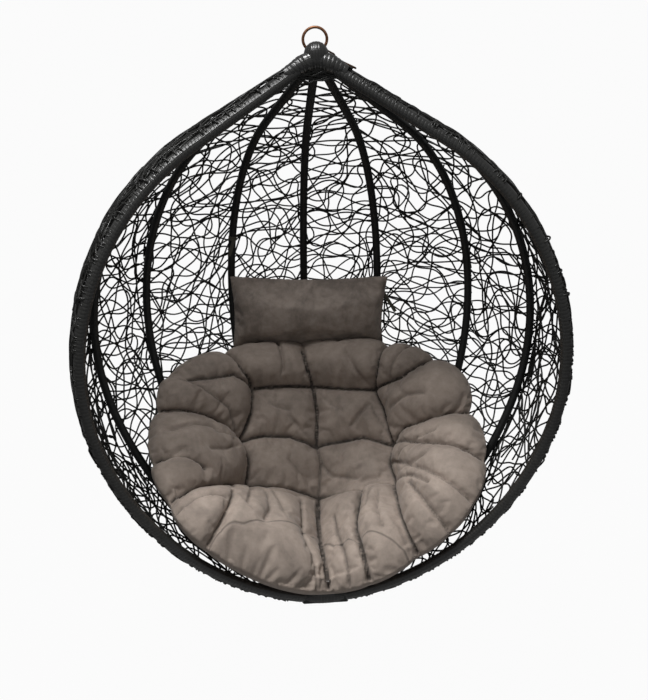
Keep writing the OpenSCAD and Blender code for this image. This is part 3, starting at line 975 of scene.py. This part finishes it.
def padded_piece(name, bm, known, material, cell, pressure, slack, most):
    obj = remeshed(name, bm, cell)
    facts = [known(v.co, v.normal) for v in obj.data.vertices]
    blow_up(obj, [f[0] for f in facts], pressure, slack, most)
    mesh = obj.data
    inward = [-n.vector.normalized() for n in mesh.vertex_normals]
    for v, way, f in zip(mesh.vertices, inward, facts):
        v.co += way * (f[2] * CREASE)
    # seam places the seam line; fold carries how shut a fold is, which the cloth paints as shade
    for key, j in (("seam", 1), ("fold", 2)):
        layer = mesh.attributes.new(key, "FLOAT", "POINT")
        layer.data.foreach_set("value", [f[j] for f in facts])
    bpy.data.objects.remove(obj)
    return finish_object(name, mesh, material)


# ---- operators ----


class EggOperator:
    """What every step of the chair shares."""

    bl_options = {"REGISTER", "UNDO"}


class EGG_OT_finishes(EggOperator, bpy.types.Operator):
    """Finish the steel cage, the ring, the eye and the chain links"""

    bl_idname = "egg_chair.finishes"
    bl_label = "Steel and bronze"

    def execute(self, context):
        c = context.scene.egg_colours
        steel = coated_steel(c)
        ring = bronze("worn_copper", c.ring, 0.5)
        chain = bronze("browned_bronze", c.chain, 0.42)
        tape = woven_tape(c)
        finishes = {
            "hanging_ring": ring, "crown_eye": chain, "chain_link_1": chain, "chain_link_2": chain,
            "pillow_tie_left": tape, "pillow_tie_right": tape,
        }
        for name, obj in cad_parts.items():
            obj.data.materials.clear()
            obj.data.materials.append(finishes.get(name, steel))
        return {"FINISHED"}


class EGG_OT_hoop_wraps(EggOperator, bpy.types.Operator):
    """Wind flat strip round both halves of the front hoop"""

    bl_idname = "egg_chair.hoop_wraps"
    bl_label = "Hoop strips"

    def execute(self, context):
        w = context.scene.egg_wraps
        material = made_once(wicker_strip, context.scene.egg_colours)
        first = 0.024
        turns = int((LAST_S + 0.004 - first) / w.pitch)
        for side, name in ((-1, "left"), (1, "right")):
            bm = spin_strip(strip_rim(w.width, HOOP_R + 0.1 * MM, w.lift), turns, w.pitch, 18)
            for v in bm.verts:
                s = first + v.co.z
                centre, out, across, _ = station(s, side * HOOP)
                turn = s / w.pitch - math.atan2(v.co.y, v.co.x) / math.tau
                outer_face = math.hypot(v.co.x, v.co.y) > 0.0115
                uneven = 0.022 * noise.noise(Vector((round(turn) * 0.9, side * 7, 0)))
                k = 1 + uneven * outer_face
                v.co = centre + k * (v.co.x * out + side * v.co.y * across)
            obj = finish_mesh("hoop_strip_" + name, bm, material, False)
            stands_for(obj, "pod", "strip", "hoop_wrap_" + name)
        return {"FINISHED"}


class EGG_OT_foot_wrap(EggOperator, bpy.types.Operator):
    """Carry the wound strip across the front of the foot"""

    bl_idname = "egg_chair.foot_wrap"
    bl_label = "Foot strip"

    def execute(self, context):
        w = context.scene.egg_wraps
        half, straight, inner, outer, thinned = 0.062, 0.051, 0.0131, 0.0142, 0.0006
        foot_y, foot_z = -0.0165, -1.2575
        bm = spin_strip(strip_rim(w.width, inner, outer), round(2 * half / w.pitch), w.pitch, 24)
        for v in bm.verts:
            x = v.co.z - half
            k = x / straight
            deep = min(1, abs(k)) ** 2
            n = 4 - 2 * deep
            a = math.atan2(v.co.y, v.co.x)
            boxed = 1 / (abs(math.cos(a)) ** n + abs(math.sin(a)) ** n) ** (1 / n)
            r = (math.hypot(v.co.x, v.co.y) - thinned * deep) * boxed
            centre = Vector((x, foot_y + 0.0013 * k * k, foot_z + 0.0005 * k * k + 0.0016 * k**4))
            v.co = centre + r * Vector((0, -math.cos(a), math.sin(a)))
        material = made_once(wicker_strip, context.scene.egg_colours)
        stands_for(finish_mesh("foot_strip", bm, material, False), "pod", "strip")
        return {"FINISHED"}


class EGG_OT_crown_wrap(EggOperator, bpy.types.Operator):
    """Wind strip round the crown under its dome"""

    bl_idname = "egg_chair.crown_wrap"
    bl_label = "Crown strip"

    def execute(self, context):
        w = context.scene.egg_wraps
        eave, low, high = Vector((0.0605, -0.0245)), Vector((0.049, -0.0435)), Vector((0.023, -0.002))
        under, over = (eave - low).length, (high - eave).length
        drum, face = 0.1, -6 * MM
        rim = [(r + drum, z) for r, z in strip_rim(w.width, 0.0, 1.3 * MM)]
        bm = spin_strip(rim, int((under + over) / w.pitch), w.pitch, 48)
        for v in bm.verts:
            proud = math.hypot(v.co.x, v.co.y) - drum
            a = math.atan2(v.co.y, v.co.x)
            z = v.co.z
            p = low.lerp(eave, z / under) if z < under else eave.lerp(high, (z - under) / over)
            lean = smooth(z, under - 0.004, under + 0.004)
            # square to the underside first, then to the slope above it
            normal = Vector((0.857 - 0.342 * lean, -0.515 + 1.373 * lean)).normalized()
            p = p + normal * proud
            v.co = Vector((p.x * math.cos(a), max(p.x * math.sin(a), face - proud), p.y))
        core = bmesh.new()
        for r1, r2, z1, z2 in ((low.x, eave.x, low.y, eave.y), (eave.x, high.x, eave.y, high.y)):
            made = bmesh.ops.create_cone(
                core, cap_ends=True, segments=64, radius1=r1 - 0.4 * MM, radius2=r2 - 0.4 * MM,
                depth=z2 - z1,
            )
            bmesh.ops.translate(core, verts=made["verts"], vec=(0, 0, (z1 + z2) / 2))
        for v in core.verts:
            v.co.y = max(v.co.y, face)
        ball = bmesh.ops.create_uvsphere(core, u_segments=40, v_segments=24, radius=23.4 * MM)
        bmesh.ops.translate(core, verts=ball["verts"], vec=(0, 0, 7 * MM))
        mesh = mesh_of("core", core)
        bm.from_mesh(mesh)
        bpy.data.meshes.remove(mesh)
        material = made_once(wicker_strip, context.scene.egg_colours)
        stands_for(finish_mesh("crown_strip", bm, material, False), "pod", "strip", "crown_hub")
        return {"FINISHED"}


class EGG_OT_crown_arch(EggOperator, bpy.types.Operator):
    """Wind strip over the joint of the hoop's halves, and lace strands under it"""

    bl_idname = "egg_chair.crown_arch"
    bl_label = "Crown arch"

    def execute(self, context):
        w = context.scene.egg_wraps
        half, bend, lean, slope = 0.064, 0.030, -0.3, -0.627
        inner, outer, arch_y, arch_z = 0.0165, 0.0205, -0.004, -0.006
        bm = spin_strip(strip_rim(w.width, inner, outer), round(2 * half / w.pitch), w.pitch, 28)
        for v in bm.verts:
            x = v.co.z - half
            run = math.hypot(x, bend)
            centre = Vector((x, arch_y + lean * (run - bend), arch_z + slope * (run - bend)))
            ahead = Vector((1, lean * x / run, slope * x / run)).normalized()
            up = Vector((-ahead.z, 0, ahead.x)).normalized()
            uneven = noise.noise(Vector((round(x / w.pitch) * 0.8, 3, 0)))
            k = 1 - 0.3 * smooth(abs(x), 0.02, half) + 0.05 * uneven
            v.co = centre + k * (v.co.x * up + v.co.y * ahead.cross(up))
        strip = made_once(wicker_strip, context.scene.egg_colours)
        stands_for(finish_mesh("crown_arch", bm, strip, False), "pod", "strip")
        rng = random.Random(context.scene.egg_weave.seed)
        paths = []
        lacings = 54
        for _ in range(lacings):
            ends = [station(rng.uniform(0.03, 0.085), side * HOOP)[0] for side in (-1, 1)]
            sag, y, seed = rng.uniform(-12, 9) * MM, rng.uniform(-17, -9) * MM, rng.uniform(0, 99)
            path = []
            for k in range(15):
                u = k / 14
                p = ends[0].lerp(ends[1], u)
                rise = math.sin(math.pi * u)
                p.z += rise * (sag + 9 * MM * noise.noise(Vector((u * 5, seed, 0))))
                p.y += (y - p.y) * min(1, 2 * rise)
                path.append(p)
            paths.append(path)
        material = made_once(wicker_strand, context.scene.egg_colours)
        obj = tubes("crown_lacing", paths, context.scene.egg_weave.strand / 2, material)
        stands_for(obj, "pod", "strand")
        return {"FINISHED"}


class EGG_OT_crown_dome(EggOperator, bpy.types.Operator):
    """Lay strips side by side over the crown's post"""

    bl_idname = "egg_chair.crown_dome"
    bl_label = "Crown dome"

    def execute(self, context):
        bm = bmesh.new()
        pitch, width, post, skin = 6.2 * MM, 6.0 * MM, 25.4 * MM, 1.4 * MM
        edge = -0.4 * MM
        profile = ((-0.5, -skin), (-0.5, edge), (-0.2, 0), (0.2, 0), (0.5, edge), (0.5, -skin))
        top = Vector((0, 0, 7 * MM))
        for k in range(-4, 5):
            x0 = k * pitch
            rim = []
            for share, proud in profile:
                x = x0 + share * width
                if abs(x) > post * 0.985:
                    x = math.copysign(post * 0.985, x)
                r = math.sqrt(post**2 - x * x) + proud
                rim.append(bm.verts.new(Vector((x, -r, 0)) + top))
            edges = [bm.edges.new((rim[i - 1], rim[i])) for i in range(len(rim))]
            arch = bmesh.ops.spin(
                bm, geom=rim + edges, cent=top, axis=(1, 0, 0), angle=-math.pi, steps=16,
                use_merge=False, use_duplicate=False,
            )
            for foot in (edges, [e for e in arch["geom_last"] if isinstance(e, bmesh.types.BMEdge)]):
                skirt = bmesh.ops.extrude_edge_only(bm, edges=foot)
                down = [v for v in skirt["geom"] if isinstance(v, bmesh.types.BMVert)]
                bmesh.ops.translate(bm, verts=down, vec=(0, 0, -9 * MM))
        bmesh.ops.holes_fill(bm, edges=bm.edges, sides=0)
        material = made_once(wicker_strip, context.scene.egg_colours)
        stands_for(finish_mesh("crown_dome", bm, material, False), "pod", "strip", "crown_cap")
        return {"FINISHED"}


class EGG_OT_nets(EggOperator, bpy.types.Operator):
    """Weave the nets between the ribs"""

    bl_idname = "egg_chair.nets"
    bl_label = "Nets"

    def execute(self, context):
        settings = context.scene.egg_weave
        material = made_once(wicker_strand, context.scene.egg_colours)
        strands, rng = weave(settings)
        panels = ["left_4", "left_3", "left_2", "left_1", "right_1", "right_2", "right_3", "right_4"]
        for k, panel in enumerate(panels):
            low, high = EDGES[k], EDGES[k + 1]
            mine = [t for t in strands if len(t.points) > 5 and low <= t.middle() < high]
            paths = [t.path(rng) for t in mine]
            obj = tubes("woven_net_" + panel, paths, settings.strand / 2, material)
            stands_for(obj, "pod", "strand", "net_" + panel)
        return {"FINISHED"}


class EGG_OT_cushion(EggOperator, bpy.types.Operator):
    """Fill and tuft the seat cushion"""

    bl_idname = "egg_chair.cushion"
    bl_label = "Seat cushion"

    def execute(self, context):
        p = context.scene.egg_cushion
        material = woven_cover("cushion_cloth", context.scene.egg_colours.cushion, 2.0, 0.12, 0.4)
        obj = padded_piece(
            "tufted_cushion", shaped_cushion(), cushion_facts, material,
            p.cell, p.pressure, p.slack, most=18 * MM,
        )
        stands_for(obj, "cushion", "cushion_cover", "seat_cushion")
        return {"FINISHED"}


class EGG_OT_pillow(EggOperator, bpy.types.Operator):
    """Fill the headrest pillow"""

    bl_idname = "egg_chair.pillow"
    bl_label = "Headrest pillow"

    def execute(self, context):
        p = context.scene.egg_pillow
        material = woven_cover("pillow_cloth", context.scene.egg_colours.pillow, 3.6, 0.15, 0.4)
        obj = padded_piece(
            "soft_pillow", shaped_pillow(p), pillow_facts, material,
            cell=4 * MM, pressure=3.0, slack=0.03, most=8 * MM,
        )
        stands_for(obj, "pillow", "pillow_cover", "headrest_pillow")
        return {"FINISHED"}


class EGG_OT_stage(EggOperator, bpy.types.Operator):
    """Set the floor, the lamps and the camera"""

    bl_idname = "egg_chair.stage"
    bl_label = "Stage"

    def execute(self, context):
        p = context.scene.egg_stage
        scene = context.scene
        bm = bmesh.new()
        bmesh.ops.create_grid(bm, x_segments=1, y_segments=1, size=20)
        mesh = mesh_of("floor", bm)
        mesh.transform(Matrix.Translation((0, 0, -p.floor_z)))
        floor = put_in_scene("floor", mesh)
        s = Shader("pale_floor", Base_Color=(0.35, 0.35, 0.35, 1), Roughness=0.9, Specular_IOR_Level=0.1)
        white = s.node("ShaderNodeEmission", Color=(1, 1, 1, 1), Strength=1.0)
        seen = Value(s, s.node("ShaderNodeLightPath").outputs["Is Camera Ray"])
        mixed = s.node("ShaderNodeMixShader", Fac=seen * 0.96)
        s.put(mixed.inputs[1], s.bsdf.outputs[0])
        s.put(mixed.inputs[2], white.outputs[0])
        s.put(s.tree.nodes["Material Output"].inputs[0], mixed.outputs[0])
        mesh.materials.append(s.material)
        world = bpy.data.worlds.new("studio")
        world.use_nodes = True
        tree = world.node_tree
        glow = tree.nodes["Background"]
        glow.inputs["Color"].default_value = (1, 1, 1, 1)
        glow.inputs["Strength"].default_value = 0.27 * p.light
        sky = tree.nodes.new("ShaderNodeBackground")
        sky.inputs["Color"].default_value = (1, 1, 1, 1)
        rays = tree.nodes.new("ShaderNodeLightPath")
        pick = tree.nodes.new("ShaderNodeMixShader")
        tree.links.new(rays.outputs["Is Camera Ray"], pick.inputs[0])
        tree.links.new(glow.outputs[0], pick.inputs[1])
        tree.links.new(sky.outputs[0], pick.inputs[2])
        tree.links.new(pick.outputs[0], tree.nodes["World Output"].inputs[0])
        scene.world = world
        for name, at, aim, size, watts, spread in (
            ("overhead", (-0.3, -0.1, 1.9), (0, -0.1, -0.8), 0.6, 30, 180),
            ("seat", (-0.75, -0.45, 1.5), (-0.05, -0.7, -0.8), 0.4, 5.0, 44),
        ):
            lamp = bpy.data.lights.new(name, "AREA")
            lamp.size = size
            lamp.energy = watts * p.light
            lamp.spread = math.radians(spread)
            holder = put_in_scene(name, lamp)
            holder.location = at
            holder.rotation_euler = (Vector(aim) - Vector(at)).to_track_quat("-Z", "Y").to_euler()
        camera = bpy.data.cameras.new("camera")
        camera.sensor_fit = "HORIZONTAL"
        camera.sensor_width = 36
        camera.lens = 64.55
        camera.shift_x = 0.005
        camera.shift_y = -0.0032
        holder = put_in_scene("camera", camera)
        holder.matrix_world = HUNG @ camera_place()
        scene.camera = holder
        scene.view_settings.view_transform = "Standard"
        return {"FINISHED"}


CAMERA_AWAY = 2.6


def camera_place():
    """The camera's place about the cage's axis: a little left of it and above, and rolled."""
    e, a, roll = math.radians(19.0), math.radians(-4.51), math.radians(0.89)
    back = Vector((math.sin(a) * math.cos(e), -math.cos(a) * math.cos(e), math.sin(e)))
    right = (-back).cross(Vector((0, 0, 1))).normalized()
    up = right.cross(-back)
    right, up = right * math.cos(roll) - up * math.sin(roll), right * math.sin(roll) + up * math.cos(roll)
    turn = Matrix((right, up, back)).transposed().to_4x4()
    return Matrix.Translation(Vector((0, 0, -CAGE_H / 2)) + CAMERA_AWAY * back) @ turn


STEPS = [
    EGG_OT_finishes, EGG_OT_hoop_wraps, EGG_OT_foot_wrap, EGG_OT_crown_wrap, EGG_OT_crown_arch,
    EGG_OT_crown_dome, EGG_OT_nets, EGG_OT_cushion, EGG_OT_pillow, EGG_OT_stage,
]
GROUPS = {
    "egg_colours": EggColours, "egg_wraps": EggWraps, "egg_weave": EggWeave,
    "egg_cushion": EggCushion, "egg_pillow": EggPillow, "egg_stage": EggStage,
}


class EGG_PT_chair(bpy.types.Panel):
    """The steps of the chair, in order, with their sizes and colours."""

    bl_idname = "EGG_PT_chair"
    bl_label = "Egg Chair"
    bl_space_type = "VIEW_3D"
    bl_region_type = "UI"
    bl_category = "Egg Chair"

    def draw(self, context):
        for step in STEPS:
            self.layout.operator(step.bl_idname)
        for key, group in GROUPS.items():
            box = self.layout.box()
            for name in group.__annotations__:
                box.prop(getattr(context.scene, key), name)


def register():
    for cls in [*GROUPS.values(), *STEPS, EGG_PT_chair]:
        bpy.utils.register_class(cls)
    for key, group in GROUPS.items():
        setattr(bpy.types.Scene, key, bpy.props.PointerProperty(type=group))


def unregister():
    for key in GROUPS:
        delattr(bpy.types.Scene, key)
    for cls in reversed([*GROUPS.values(), *STEPS, EGG_PT_chair]):
        bpy.utils.unregister_class(cls)


def main():
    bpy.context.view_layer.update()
    register()
    for step in STEPS:
        group, name = step.bl_idname.split(".")
        getattr(getattr(bpy.ops, group), name)()


if __name__ == "__main__":
    main()
